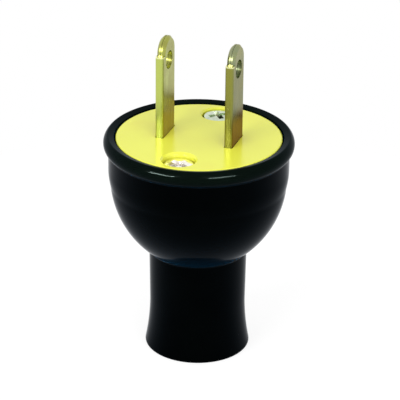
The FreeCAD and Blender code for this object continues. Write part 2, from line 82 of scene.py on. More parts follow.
SCREW_LENGTH = 8.0
TIP_ROOM = 1.4
BORE_OVERSHOOT = 1.0
SHELL_SIDES = 160
BOSS_SIDES = 48
BORE_SIDES = 52
MERGE_REACH = 0.0005 * MM


def linear(hex_colour):
    """Turns an sRGB hex colour into the linear colour that a socket takes."""
    parts = [int(hex_colour[i:i + 2], 16) / 255 for i in (1, 3, 5)]
    return [c / 12.92 if c <= 0.04045 else ((c + 0.055) / 1.055) ** 2.4 for c in parts] + [1.0]


def add_node(tree, kind, inputs=(), **settings):
    """Adds a node with its settings. Each input is given a value, or the output that feeds it."""
    made = tree.nodes.new(kind)
    for name, value in settings.items():
        setattr(made, name, value)
    for name, value in dict(inputs).items():
        if isinstance(value, bpy.types.NodeSocket):
            tree.links.new(value, made.inputs[name])
        else:
            made.inputs[name].default_value = value
    return made


def new_material(name):
    """An empty material, its node tree, and the piece's own coordinates in metres."""
    material = bpy.data.materials.new(name)
    material.use_nodes = True
    tree = material.node_tree
    tree.nodes.clear()
    place = add_node(tree, "ShaderNodeTexCoord").outputs["Object"]
    return material, tree, place


def close_material(tree, shader):
    """Links the finished shader to the material's output."""
    add_node(tree, "ShaderNodeOutputMaterial", {"Surface": shader.outputs[0]})


def per_metre(size_mm):
    """The texture scale at which one cell of a pattern is that many millimetres across."""
    return 1000.0 / size_mm


def black_abs():
    """Polished black ABS: deep black face on, with a blue sheen where the surface turns away.

    A polished mould leaves a faint haze and a very slight orange peel about a millimetre across.
    The lip is painted a little grey-green towards its top: a painted reflection.
    """
    material, tree, place = new_material("polished_black_abs")
    haze = add_node(tree, "ShaderNodeTexNoise",
                    {"Vector": place, "Scale": per_metre(7.0), "Detail": 4.0})
    peel = add_node(tree, "ShaderNodeTexNoise",
                    {"Vector": place, "Scale": per_metre(1.1), "Detail": 2.0})
    tint = add_node(tree, "ShaderNodeMix",
                    {0: haze.outputs["Fac"], 6: linear("#000000"), 7: linear("#020303")}, data_type="RGBA")
    height = add_node(tree, "ShaderNodeSeparateXYZ", {0: place}).outputs["Z"]
    # Painted reflection: towards the top of the lip the black is painted a little grey-green.
    lip_reflection = add_node(tree, "ShaderNodeMapRange",
                       {"Value": height, "From Min": (LIP_MIDDLE[1] - LIP_ROUND) * MM,
                        "From Max": LIP_MIDDLE[1] * MM, "To Min": 0.0, "To Max": 1.0},
                       interpolation_type="SMOOTHSTEP")
    with_painted_light = add_node(tree, "ShaderNodeMix",
                     {0: lip_reflection.outputs[0], 6: tint.outputs[2], 7: linear("#070E0A")}, data_type="RGBA")
    gloss = add_node(tree, "ShaderNodeMapRange",
                     {"Value": haze.outputs["Fac"], "From Min": 0.3, "From Max": 0.7,
                      "To Min": 0.08, "To Max": 0.14})
    bump = add_node(tree, "ShaderNodeBump",
                    {"Height": peel.outputs["Fac"], "Strength": 0.05, "Distance": 0.05 * MM})
    shader = add_node(tree, "ShaderNodeBsdfPrincipled",
                      {"Base Color": with_painted_light.outputs[2], "Roughness": gloss.outputs[0], "IOR": 1.5,
                       "Specular IOR Level": 0.012, "Specular Tint": linear("#A9C4BC"),
                       "Sheen Weight": 0.11, "Sheen Roughness": 0.4, "Sheen Tint": linear("#2070A0"),
                       "Normal": bump.outputs[0]})
    close_material(tree, shader)
    return material


def turning_tree():
    """Nodes that turn a section around the Z axis, as a lathe or a round mould does.

    The section is a chain of points with two numbers each: how much of the thread and of the
    knurl is cut there. A thread climbs by its pitch on each turn, and a knurl runs straight up.
    """
    tree = bpy.data.node_groups.new("turned_around_axis", "GeometryNodeTree")
    for name, kind in (("Section", "Geometry"), ("Sides", "Int"), ("Thread Depth", "Float"),
                       ("Thread Pitch", "Float"), ("Knurl Depth", "Float"), ("Knurl Count", "Float"),
                       ("Material", "Material")):
        tree.interface.new_socket(name, in_out="INPUT", socket_type=f"NodeSocket{kind}")
    tree.interface.new_socket("Piece", in_out="OUTPUT", socket_type="NodeSocketGeometry")
    given = add_node(tree, "NodeGroupInput").outputs
    count = add_node(tree, "GeometryNodeAttributeDomainSize", {"Geometry": given["Section"]},
                     component="MESH")
    columns = add_node(tree, "ShaderNodeMath", {0: given["Sides"], 1: 1.0}, operation="ADD")
    grid = add_node(tree, "GeometryNodeMeshGrid",
                    {"Vertices X": columns.outputs[0], "Vertices Y": count.outputs["Point Count"]})
    index = add_node(tree, "GeometryNodeInputIndex").outputs[0]
    column = add_node(tree, "FunctionNodeIntegerMath",
                      {0: index, 1: count.outputs["Point Count"]}, operation="DIVIDE_FLOOR")
    row = add_node(tree, "FunctionNodeIntegerMath",
                   {0: index, 1: count.outputs["Point Count"]}, operation="MODULO")
    position = add_node(tree, "GeometryNodeInputPosition").outputs[0]
    point = add_node(tree, "GeometryNodeSampleIndex",
                     {"Geometry": given["Section"], "Value": position, "Index": row.outputs[0]},
                     data_type="FLOAT_VECTOR")
    shares = []
    for name in ("thread", "knurl"):
        share = add_node(tree, "GeometryNodeInputNamedAttribute", {"Name": name}, data_type="FLOAT")
        shares.append(add_node(tree, "GeometryNodeSampleIndex",
                               {"Geometry": given["Section"], "Value": share.outputs[0],
                                "Index": row.outputs[0]}, data_type="FLOAT").outputs[0])
    coordinates = add_node(tree, "ShaderNodeSeparateXYZ", {0: point.outputs[0]}).outputs
    turn = add_node(tree, "ShaderNodeMath", {0: column.outputs[0], 1: given["Sides"]}, operation="DIVIDE")
    climb = add_node(tree, "ShaderNodeMath",
                     {0: coordinates["Z"], 1: given["Thread Pitch"]}, operation="DIVIDE")
    helix = add_node(tree, "ShaderNodeMath", {0: climb.outputs[0], 1: turn.outputs[0]}, operation="SUBTRACT")
    teeth = add_node(tree, "ShaderNodeMath", {0: turn.outputs[0], 1: given["Knurl Count"]},
                     operation="MULTIPLY")
    radius = coordinates["X"]
    for phase, depth, share in ((helix, "Thread Depth", shares[0]), (teeth, "Knurl Depth", shares[1])):
        wave = add_node(tree, "ShaderNodeMath", {0: phase.outputs[0], 1: 0.5}, operation="PINGPONG")
        cut = add_node(tree, "ShaderNodeMath", {0: wave.outputs[0], 1: given[depth]}, operation="MULTIPLY")
        doubled = add_node(tree, "ShaderNodeMath", {0: share, 1: -2.0}, operation="MULTIPLY")
        radius = add_node(tree, "ShaderNodeMath",
                          {0: cut.outputs[0], 1: doubled.outputs[0], 2: radius},
                          operation="MULTIPLY_ADD").outputs[0]
    arm = add_node(tree, "ShaderNodeCombineXYZ", {"X": radius, "Z": coordinates["Z"]})
    angle = add_node(tree, "ShaderNodeMath", {0: turn.outputs[0], 1: math.tau}, operation="MULTIPLY")
    swung = add_node(tree, "ShaderNodeVectorRotate",
                     {"Vector": arm.outputs[0], "Angle": angle.outputs[0]}, rotation_type="Z_AXIS")
    placed = add_node(tree, "GeometryNodeSetPosition",
                      {"Geometry": grid.outputs["Mesh"], "Position": swung.outputs[0]})
    closed = add_node(tree, "GeometryNodeMergeByDistance",
                      {"Geometry": placed.outputs[0], "Distance": MERGE_REACH})
    real = add_node(tree, "GeometryNodeRealizeInstances", {"Geometry": closed.outputs[0]})
    finished = add_node(tree, "GeometryNodeSetMaterial",
                        {"Geometry": real.outputs[0], "Material": given["Material"]})
    add_node(tree, "NodeGroupOutput", {"Piece": finished.outputs[0]})
    return tree


TURNING = turning_tree()


def add_tree(piece, tree, values):
    """Puts a node tree on a piece, with its named inputs set."""
    modifier = piece.modifiers.new(tree.name, "NODES")
    modifier.node_group = tree
    for socket in tree.interface.items_tree:
        if socket.in_out == "INPUT" and socket.name in values:
            modifier[socket.identifier] = values[socket.name]


def new_piece(name, mesh):
    """An object at the origin that shows the mesh."""
    piece = bpy.data.objects.new(name, mesh)
    bpy.context.scene.collection.objects.link(piece)
    return piece


def bake(piece, crease=30.0):
    """Makes the piece's modifiers a plain mesh, smooth but for edges sharper than the crease angle."""
    seen = piece.evaluated_get(bpy.context.evaluated_depsgraph_get())
    mesh = bpy.data.meshes.new_from_object(seen)
    piece.modifiers.clear()
    piece.data = mesh
    shaped = bmesh.new()
    shaped.from_mesh(mesh)
    for face in shaped.faces:
        face.smooth = True
    for edge in shaped.edges:
        edge.smooth = edge.calc_face_angle(0.0) < math.radians(crease)
    shaped.to_mesh(mesh)
    shaped.free()


def turn_piece(name, section, sides, material, thread=(0.0, 1.0), knurl=(0.0, 1.0)):
    """Turns a section in millimetres into a piece around the Z axis.

    A point is radius and height, and may go on with its shares of the thread and the knurl.
    The thread is depth and pitch in millimetres, and the knurl is depth and number of teeth.
    """
    points = [(tuple(point) + (0.0, 0.0))[:4] for point in section]
    mesh = bpy.data.meshes.new(name)
    mesh.from_pydata([(radius * MM, 0.0, height * MM) for radius, height, _, _ in points],
                     [(i, i + 1) for i in range(len(points) - 1)], [])
    for slot_index, label in ((2, "thread"), (3, "knurl")):
        share = mesh.attributes.new(label, "FLOAT", "POINT")
        share.data.foreach_set("value", [point[slot_index] for point in points])
    piece = new_piece(name, mesh)
    add_tree(piece, TURNING, {"Sides": sides, "Thread Depth": thread[0] * MM, "Thread Pitch": thread[1] * MM,
                              "Knurl Depth": knurl[0] * MM, "Knurl Count": knurl[1], "Material": material})
    bake(piece)
    return piece


def combine(piece, tool, operation):
    """Adds the tool's solid to the piece, or takes it away, and clears the tool."""
    modifier = piece.modifiers.new(operation, "BOOLEAN")
    modifier.operation = operation
    modifier.solver = "EXACT"
    modifier.object = tool
    bake(piece)
    bpy.data.objects.remove(tool)


def arc(middle, radius, start, stop, steps):
    """Points along an arc between two angles in degrees."""
    turns = [math.radians(start + (stop - start) * i / steps) for i in range(steps + 1)]
    return [(middle[0] + radius * math.cos(t), middle[1] + radius * math.sin(t)) for t in turns]


def trimmed(points, reach):
    """The points without the last stretch of that length."""
    points = list(points)
    while True:
        end, before = Vector(points[-1]), Vector(points[-2])
        step = (end - before).length
        if step > reach:
            return points[:-1] + [tuple(end.lerp(before, reach / step))]
        reach -= step
        points.pop()


def rounded(first, second, radius):
    """Two runs of points that meet in a corner, joined with that corner rounded."""
    corner = Vector(first[-1])
    heading = corner - Vector(first[-2])
    reach = radius * math.tan(heading.angle(Vector(second[1]) - corner) / 2)
    first = trimmed(first, reach)
    second = trimmed(second[::-1], reach)[::-1]
    start, stop = Vector(first[-1]), Vector(second[0])
    bend = [start.lerp(corner, t).lerp(corner.lerp(stop, t), t) for t in (0.2, 0.4, 0.6, 0.8)]
    return first + [tuple(point) for point in bend] + second


def shell_section():
    """The shell's wall, anticlockwise from the cord hole's mouth out, up, over the lip and back down."""
    flare_round = (WAIST_HEIGHT ** 2 + BASE_FLARE ** 2) / (2 * BASE_FLARE)
    flare_angle = math.degrees(math.asin(WAIST_HEIGHT / flare_round))
    flare = arc((WAIST_RADIUS + flare_round, WAIST_HEIGHT), flare_round, 180 + flare_angle, 180, 18)
    root_angle = math.degrees(math.acos((NECK_TOP_RADIUS - BOWL_MIDDLE[0]) / BOWL_ROUND))
    crease_angle = math.degrees(math.asin((BOWL_MIDDLE[1] - BAND_FOOT + BAND_TAPER) / BOWL_ROUND))
    bowl = arc(BOWL_MIDDLE, BOWL_ROUND, -root_angle, -crease_angle, 36)
    neck = [flare[-1], bowl[0]]
    step = BAND_RADIUS - bowl[-1][0]
    taper_round = (BAND_TAPER ** 2 + step ** 2) / (2 * step)
    taper_angle = math.degrees(math.asin(BAND_TAPER / taper_round))
    taper = arc((BAND_RADIUS - taper_round, BAND_FOOT), taper_round, -taper_angle, 0, 8)
    foot_angle = math.degrees(math.acos((BAND_RADIUS - LIP_MIDDLE[0]) / LIP_ROUND))
    crest_angle = math.degrees(math.asin((FACE_HEIGHT + LIP_RISE - LIP_MIDDLE[1]) / LIP_ROUND))
    lip = arc(LIP_MIDDLE, LIP_ROUND, -foot_angle, crest_angle, 28)
    band = [taper[-1], lip[0]]
    funnel = [lip[-1], (POCKET_RADIUS, FACE_HEIGHT + RIM_RISE)]
    chamber_radius = BOWL_WIDEST - WALL
    chamber_round = BOWL_ROUND - WALL
    floor_angle = math.degrees(math.acos((CORD_BORE - BOWL_MIDDLE[0]) / chamber_round))
    chamber = arc(BOWL_MIDDLE, chamber_round, 0, -floor_angle, 24)
    mouth = arc((CORD_BORE + MOUTH_ROUND, MOUTH_ROUND), MOUTH_ROUND, 180, 270, 8)
    outside = rounded([mouth[-1], flare[0]], flare, BASE_ROUND)
    outside = rounded(outside + neck[1:], bowl, ROOT_ROUND)
    outside = rounded(outside + taper[1:] + band[1:], lip, LIP_FOOT_ROUND)
    outside = rounded(outside, funnel, CREST_ROUND)
    inside = [(POCKET_RADIUS, SEAT_HEIGHT), (chamber_radius, SEAT_HEIGHT)] + chamber + mouth
    return outside + inside


glossy_black = black_abs()
shell = turn_piece("body_shell_moulded", shell_section(), SHELL_SIDES, glossy_black)
for end, way in (("front", -1), ("rear", 1)):
    tip_floor = SCREW_SEATS[end] - SCREW_LENGTH - TIP_ROOM
    boss_foot = tip_floor - BOSS_FLOOR
    boss_top = SEAT_HEIGHT - BOSS_DROP
    bore_top = SEAT_HEIGHT + BORE_OVERSHOOT
    boss = turn_piece("boss", [(0.0, boss_foot), (BOSS_RADIUS, boss_foot),
                               (BOSS_RADIUS, boss_top), (0.0, boss_top)], BOSS_SIDES, glossy_black)
    bore = turn_piece("bore", [(0.0, tip_floor), (TIP_POCKET, tip_floor), (TIP_POCKET, INSERT_FOOT),
                               (INSERT_POCKET, INSERT_FOOT), (INSERT_POCKET, bore_top), (0.0, bore_top)],
                      BORE_SIDES, glossy_black)
    for solid in (boss, bore):
        solid.data.transform(Matrix.Translation((0.0, way * SCREW_OFFSET * MM, 0.0)))
    combine(shell, boss, "UNION")
    combine(shell, bore, "DIFFERENCE")
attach(shell, "root")
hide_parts("body_shell")

# Threaded inserts: two short brass sleeves, turned from bar, knurled outside and tapped inside.
# They are pressed hot into the bosses of the shell, which grip the knurl and the groove between.

INSERT_RADIUS = 2.1
INSERT_BORE = 1.45
INSERT_LENGTH = 6.0
INSERT_GROOVE = (2.3, 3.7, 0.3)
INSERT_CHAMFER = 0.15
INSERT_SIDES = 144
KNURL_STEP = 0.25
KNURL_DEPTH = 0.16
KNURL_TEETH = 24.0
TAPPED_DEPTH = 0.12
FINE_PITCH = 25.4 / 40


def turned_brass():
    """Free-cutting brass from the lathe: bright yellow metal, dulled in small patches by handling."""
    material, tree, place = new_material("turned_brass")
    patina = add_node(tree, "ShaderNodeTexNoise",
                      {"Vector": place, "Scale": per_metre(1.5), "Detail": 5.0})
    tint = add_node(tree, "ShaderNodeMix",
                    {0: patina.outputs["Fac"], 6: linear("#C9A552"), 7: linear("#E0C47A")}, data_type="RGBA")
    gloss = add_node(tree, "ShaderNodeMapRange",
                     {"Value": patina.outputs["Fac"], "To Min": 0.2, "To Max": 0.36})
    shader = add_node(tree, "ShaderNodeBsdfPrincipled",
                      {"Base Color": tint.outputs[2], "Metallic": 1.0, "Roughness": gloss.outputs[0]})
    close_material(tree, shader)
    return material


def placing_tree():
    """Nodes that set copies of a finished piece along a line, each leaning and turned as asked."""
    tree = bpy.data.node_groups.new("copies_in_place", "GeometryNodeTree")
    for name, kind in (("Piece", "Geometry"), ("Copies", "Int"), ("First Place", "Vector"),
                       ("Step", "Vector"), ("Lean", "Vector"), ("Turn", "Float"), ("Material", "Material")):
        tree.interface.new_socket(name, in_out="INPUT", socket_type=f"NodeSocket{kind}")
    tree.interface.new_socket("Pieces", in_out="OUTPUT", socket_type="NodeSocketGeometry")
    given = add_node(tree, "NodeGroupInput").outputs
    places = add_node(tree, "GeometryNodeMeshLine",
                      {"Count": given["Copies"], "Start Location": given["First Place"],
                       "Offset": given["Step"]})
    index = add_node(tree, "GeometryNodeInputIndex").outputs[0]
    angle = add_node(tree, "ShaderNodeMath", {0: index, 1: given["Turn"]}, operation="MULTIPLY")
    turn = add_node(tree, "FunctionNodeAxisAngleToRotation",
                    {"Axis": (0.0, 0.0, 1.0), "Angle": angle.outputs[0]})
    lean = add_node(tree, "FunctionNodeEulerToRotation", {"Euler": given["Lean"]})
    both = add_node(tree, "FunctionNodeRotateRotation",
                    {"Rotation": lean.outputs[0], "Rotate By": turn.outputs[0]}, rotation_space="GLOBAL")
    copies = add_node(tree, "GeometryNodeInstanceOnPoints",
                      {"Points": places.outputs["Mesh"], "Instance": given["Piece"],
                       "Rotation": both.outputs[0]})
    real = add_node(tree, "GeometryNodeRealizeInstances", {"Geometry": copies.outputs[0]})
    finished = add_node(tree, "GeometryNodeSetMaterial",
                        {"Geometry": real.outputs[0], "Material": given["Material"]})
    add_node(tree, "NodeGroupOutput", {"Pieces": finished.outputs[0]})
    return tree


PLACING = placing_tree()


def set_pair(piece, first, step, material, lean=(0.0, 0.0, 0.0), turn=0.0):
    """Makes the piece a pair: one at the first place and one a step further, turned by that many degrees."""
    add_tree(piece, PLACING, {"Copies": 2, "First Place": [c * MM for c in first],
                              "Step": [c * MM for c in step], "Lean": [math.radians(c) for c in lean],
                              "Turn": math.radians(turn), "Material": material})
    bake(piece)


def ridged_run(start, stop, step, thread=0.0, knurl=0.0):
    """Evenly spaced points from one place to another, with their shares of thread and knurl.

    The cut runs out over the first and last steps, so that the ends stay round.
    """
    steps = max(4, round((Vector(stop) - Vector(start)).length / step))
    points = []
    for i in range(steps + 1):
        share = min(1.0, i / 2, (steps - i) / 2)
        place = Vector(start).lerp(Vector(stop), i / steps)
        points.append((place.x, place.y, thread * share, knurl * share))
    return points


def insert_section():
    """The sleeve's wall, anticlockwise: knurled outside with its groove, tapped inside."""
    low, high, depth = INSERT_GROOVE
    top = INSERT_LENGTH - INSERT_CHAMFER
    inner, outer = INSERT_BORE + INSERT_CHAMFER, INSERT_RADIUS - INSERT_CHAMFER
    lower = ridged_run((INSERT_RADIUS, INSERT_CHAMFER), (INSERT_RADIUS, low), KNURL_STEP, knurl=1.0)
    upper = ridged_run((INSERT_RADIUS, high), (INSERT_RADIUS, top), KNURL_STEP, knurl=1.0)
    groove = [(INSERT_RADIUS - depth, low), (INSERT_RADIUS - depth, high)]
    tapped = ridged_run((INSERT_BORE, top), (INSERT_BORE, INSERT_CHAMFER), FINE_PITCH / 6, thread=-1.0)
    return ([(inner, 0.0), (outer, 0.0)] + lower + groove + upper
            + [(outer, INSERT_LENGTH), (inner, INSERT_LENGTH)] + tapped + [(inner, 0.0)])


brass_from_lathe = turned_brass()
inserts = turn_piece("threaded_inserts", insert_section(), INSERT_SIDES, brass_from_lathe,
                     thread=(TAPPED_DEPTH, FINE_PITCH), knurl=(KNURL_DEPTH, KNURL_TEETH))
set_pair(inserts, (0.0, -SCREW_OFFSET, INSERT_FOOT), (0.0, 2 * SCREW_OFFSET, 0.0), brass_from_lathe)
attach(inserts, "root")
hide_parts("threaded_insert_front", "threaded_insert_rear")

# Face plate: a thick disc of lemon-yellow nylon that closes the shell and insulates the blades.
# It is moulded with its two blade slots, its screw recesses and the stakes at its back.

# Depths below the face where the painted shade in the recesses is full and where it starts.
RECESS_SHADE_FULL = FACE_HEIGHT - 2.0
RECESS_SHADE_START = FACE_HEIGHT - 0.3


def lemon_nylon():
    """Moulded nylon: a clear lemon yellow with a glossy skin, gone a little amber in soft patches.

    It is painted browner down in the recesses: painted shade.
    """
    material, tree, place = new_material("lemon_yellow_nylon")
    cloud = add_node(tree, "ShaderNodeTexNoise",
                     {"Vector": place, "Scale": per_metre(6.0), "Detail": 3.0})
    amber = add_node(tree, "ShaderNodeTexNoise",
                     {"Vector": place, "Scale": per_metre(9.0), "Detail": 2.0, "Roughness": 0.4})
    patch = add_node(tree, "ShaderNodeMapRange",
                     {"Value": amber.outputs["Fac"], "From Min": 0.5, "From Max": 0.75,
                      "To Min": 0.0, "To Max": 0.5}, interpolation_type="SMOOTHSTEP")
    peel = add_node(tree, "ShaderNodeTexNoise",
                    {"Vector": place, "Scale": per_metre(1.6), "Detail": 2.0})
    tint = add_node(tree, "ShaderNodeMix",
                    {0: cloud.outputs["Fac"], 6: linear("#E8EA44"), 7: linear("#ECF050")}, data_type="RGBA")
    aged = add_node(tree, "ShaderNodeMix",
                    {0: patch.outputs[0], 6: tint.outputs[2], 7: linear("#E4DC46")}, data_type="RGBA")
    height = add_node(tree, "ShaderNodeSeparateXYZ", {0: place}).outputs["Z"]
    # Painted shade: the nylon is painted browner the deeper it lies below the face.
    recess_shade = add_node(tree, "ShaderNodeMapRange",
                    {"Value": height, "From Min": RECESS_SHADE_FULL * MM, "From Max": RECESS_SHADE_START * MM,
                     "To Min": 0.6, "To Max": 0.0})
    with_painted_light = add_node(tree, "ShaderNodeMix",
                     {0: recess_shade.outputs[0], 6: aged.outputs[2], 7: linear("#A08A1C")}, data_type="RGBA")
    gloss = add_node(tree, "ShaderNodeMapRange",
                     {"Value": cloud.outputs["Fac"], "From Min": 0.3, "From Max": 0.7,
                      "To Min": 0.16, "To Max": 0.24})
    bump = add_node(tree, "ShaderNodeBump",
                    {"Height": peel.outputs["Fac"], "Strength": 0.05, "Distance": 0.05 * MM})
    shader = add_node(tree, "ShaderNodeBsdfPrincipled",
                      {"Base Color": with_painted_light.outputs[2], "Roughness": gloss.outputs[0], "IOR": 1.53,
                       "Normal": bump.outputs[0]})
    close_material(tree, shader)
    return material


face = nodes["face_plate"]
face.data.materials.clear()
face.data.materials.append(lemon_nylon())

# Blades: two brass strips, each folded back on itself and stamped to a rounded nose with one hole.
# They are pushed up through the slots until their shoulders meet the back of the face plate.
# The folded front edges are painted lighter, a painted highlight, the feet are browner, and the right blade
# is given darker, browner colours.

FOOT_BROWN = FACE_HEIGHT + 3.5
NOSE_FOOT = FACE_HEIGHT + 12.0
NOSE_PALE = FACE_HEIGHT + 16.5
LEDGE_HEIGHT = FACE_HEIGHT + 15.0
# The painted highlight on the ledge is full within LEDGE_PALE of its height and gone at LEDGE_END.
LEDGE_PALE = 0.1
LEDGE_END = 0.3
LEDGE_FRONT = -2.5
LEDGE_BACK = -2.3
FOLD_FRONT = -3.2
FOLD_BACK = -2.6


def rolled_brass(name, rubbed_and_highlight, flat, nose, foot, glancing, foot_top):
    """Rolled brass strip: lighter on its front fold as a painted highlight and in random worn patches, duller
    on its flats and nose, brown at its foot.

    The ledge below the nose has a near-white painted highlight along its front. Rolling leaves fine lines
    along the strip. They are really a few hundredths of a millimetre wide, and are drawn coarser so that they
    show.
    """
    material, tree, place = new_material(name)
    stretched = add_node(tree, "ShaderNodeMapping", {"Vector": place, "Scale": (1.0, 1.0, 0.06)})
    lines = add_node(tree, "ShaderNodeTexNoise",
                     {"Vector": stretched.outputs[0], "Scale": per_metre(0.25), "Detail": 3.0})
    stain = add_node(tree, "ShaderNodeTexNoise",
                     {"Vector": place, "Scale": per_metre(2.5), "Detail": 5.0})
    where = add_node(tree, "ShaderNodeSeparateXYZ", {0: place}).outputs
    low = add_node(tree, "ShaderNodeMapRange",
                   {"Value": where["Z"], "From Min": FOOT_BROWN * MM,
                    "From Max": (FACE_HEIGHT + foot_top) * MM, "To Min": 1.0, "To Max": 0.0},
                   interpolation_type="SMOOTHSTEP")
    # Painted highlight: the front fold keeps the lighter colour, and behind it only random worn patches of it
    # stay.
    inward = add_node(tree, "ShaderNodeMapRange",
                      {"Value": where["Y"], "From Min": FOLD_FRONT * MM, "From Max": FOLD_BACK * MM,
                       "To Min": 0.0, "To Max": 1.0})
    worn = add_node(tree, "ShaderNodeMix", {0: 0.4, 2: stain.outputs["Fac"], 3: lines.outputs["Fac"]})
    patchy = add_node(tree, "ShaderNodeMapRange",
                      {"Value": worn.outputs[0], "From Min": 0.35, "From Max": 0.65,
                       "To Min": 0.55, "To Max": 1.25})
    dulled = add_node(tree, "ShaderNodeMath", {0: inward.outputs[0], 1: patchy.outputs[0]},
                      operation="MULTIPLY", use_clamp=True)
    soaked = add_node(tree, "ShaderNodeMath", {0: dulled.outputs[0], 1: 1.5},
                      operation="MULTIPLY", use_clamp=True)
    browned = add_node(tree, "ShaderNodeMath", {0: soaked.outputs[0], 1: low.outputs[0]},
                       operation="MULTIPLY")
    high = add_node(tree, "ShaderNodeMapRange",
                    {"Value": where["Z"], "From Min": NOSE_FOOT * MM, "From Max": NOSE_PALE * MM,
                     "To Min": 0.0, "To Max": 1.0},
                    interpolation_type="SMOOTHSTEP")
    dull = add_node(tree, "ShaderNodeMix",
                    {0: high.outputs[0], 6: linear(flat), 7: linear(nose)}, data_type="RGBA")
    upper = add_node(tree, "ShaderNodeMix",
                     {0: dulled.outputs[0], 6: linear(rubbed_and_highlight), 7: dull.outputs[2]}, data_type="RGBA")
    tint = add_node(tree, "ShaderNodeMix",
                    {0: browned.outputs[0], 6: upper.outputs[2], 7: linear(foot)}, data_type="RGBA")
    # Painted highlight: a near-white band along the front of the ledge below the nose.
    above_ledge = add_node(tree, "ShaderNodeMath", {0: where["Z"], 1: LEDGE_HEIGHT * MM},
                           operation="SUBTRACT")
    off_ledge = add_node(tree, "ShaderNodeMath", {0: above_ledge.outputs[0]}, operation="ABSOLUTE")
    ledge = add_node(tree, "ShaderNodeMapRange",
                     {"Value": off_ledge.outputs[0], "From Min": LEDGE_PALE * MM, "From Max": LEDGE_END * MM,
                      "To Min": 0.9, "To Max": 0.0})
    before = add_node(tree, "ShaderNodeMapRange",
                      {"Value": where["Y"], "From Min": LEDGE_FRONT * MM, "From Max": LEDGE_BACK * MM,
                       "To Min": 1.0, "To Max": 0.0})
    ledge_highlight = add_node(tree, "ShaderNodeMath", {0: ledge.outputs[0], 1: before.outputs[0]},
                            operation="MULTIPLY")
    finish = add_node(tree, "ShaderNodeMix",
                      {0: ledge_highlight.outputs[0], 6: tint.outputs[2], 7: linear("#F6F6B8")},
                      data_type="RGBA")
    gloss = add_node(tree, "ShaderNodeMapRange",
                     {"Value": lines.outputs["Fac"], "From Min": 0.3, "From Max": 0.7,
                      "To Min": 0.24, "To Max": 0.38})
    bump = add_node(tree, "ShaderNodeBump",
                    {"Height": lines.outputs["Fac"], "Strength": 0.12, "Distance": 0.02 * MM})
    shader = add_node(tree, "ShaderNodeBsdfPrincipled",
                      {"Base Color": finish.outputs[2], "Metallic": 1.0, "Roughness": gloss.outputs[0],
                       "Specular Tint": linear(glancing), "Normal": bump.outputs[0]})
    close_material(tree, shader)
    return material


# The right blade is given darker, browner colours than the left.
BLADE_FINISHES = {
    "left": rolled_brass("rolled_brass_lighter", rubbed_and_highlight="#BECB68", flat="#A2A354", nose="#9C9C50",
                         foot="#9C840A", glancing="#FFFFFF", foot_top=9.0),
    "right": rolled_brass("rolled_brass_darker", rubbed_and_highlight="#8F8F40", flat="#737C5C", nose="#8E9674",
                          foot="#724800", glancing="#FCF4E6", foot_top=6.8),
}
for side, finish in BLADE_FINISHES.items():
    blade = nodes[f"blade_{side}"]
    blade.data.materials.clear()
    blade.data.materials.append(finish)

# Terminal block: an ivory thermoset plate with a barrier between the poles.
# It goes over the blade tails and is held by the face plate's stakes, whose ends are spread hot.


def ivory_thermoset():
    """Urea moulding compound: warm ivory, satin, with the faint speckle of its filler."""
    material, tree, place = new_material("ivory_thermoset")
    filler = add_node(tree, "ShaderNodeTexNoise",
                      {"Vector": place, "Scale": per_metre(0.5), "Detail": 4.0})
    tint = add_node(tree, "ShaderNodeMix",
                    {0: filler.outputs["Fac"], 6: linear("#D8CDB2"), 7: linear("#EDE5D0")}, data_type="RGBA")
    gloss = add_node(tree, "ShaderNodeMapRange",
                     {"Value": filler.outputs["Fac"], "To Min": 0.42, "To Max": 0.55})
    shader = add_node(tree, "ShaderNodeBsdfPrincipled",
                      {"Base Color": tint.outputs[2], "Roughness": gloss.outputs[0], "IOR": 1.56})
    close_material(tree, shader)
    return material


block = nodes["terminal_block"]
block.data.materials.clear()
block.data.materials.append(ivory_thermoset())

# Terminal screws: two slotted brass binding screws, turned and threaded, one through each blade tail.
# A wire is wound under the wide head and the screw is driven into the tail's drawn collar.

BINDING_RADIUS = 1.72
BINDING_LENGTH = 4.0
BINDING_HEAD = (3.2, 1.6, 0.6)
BINDING_CROWN = 0.1
BINDING_THREAD = 0.36
BINDING_SLOT = (0.9, 0.8)
SLOT_OVERSHOOT = 0.2
SLOT_RISE = 0.3
BINDING_PLACE = 7.1
TERMINAL_HEIGHT = SEAT_HEIGHT - 7.5
COARSE_PITCH = 25.4 / 32
SHANK_POINT = 0.5
SHANK_NECK = 0.2
SCREW_SIDES = 64


def screw_section(radius, length, pitch, head, crown):
    """A threaded shank under a round-edged head, whose seat is at height 0 and whose top is crowned."""
    head_radius, head_height, head_round = head
    shank = ridged_run((radius, SHANK_POINT - length), (radius, -SHANK_NECK), pitch / 8, thread=1.0)
    edge = arc((head_radius - head_round, head_height - crown - head_round), head_round, 0, 90, 8)
    top = [(edge[-1][0] * (1 - t), head_height - crown * (1 - t) ** 2) for t in (0.25, 0.5, 0.75, 1.0)]
    point = [(0.0, -length), (radius - SHANK_POINT, -length)]
    return point + shank + [(radius, 0.0), (head_radius, 0.0)] + edge + top


def tapered_cutter(name, outline, top, bottom, shrink):
    """A solid under an outline in millimetres, drawn in towards the axis at its lower end."""
    shaped = bmesh.new()
    rings = [[shaped.verts.new((x * scale * MM, y * scale * MM, height * MM)) for x, y in outline]
             for height, scale in ((bottom, shrink), (top, 1.0))]
    shaped.faces.new(rings[0][::-1])
    shaped.faces.new(rings[1])
    for i in range(len(outline)):
        j = (i + 1) % len(outline)
        shaped.faces.new((rings[0][i], rings[0][j], rings[1][j], rings[1][i]))
    mesh = bpy.data.meshes.new(name)
    shaped.to_mesh(mesh)
    shaped.free()
    return new_piece(name, mesh)


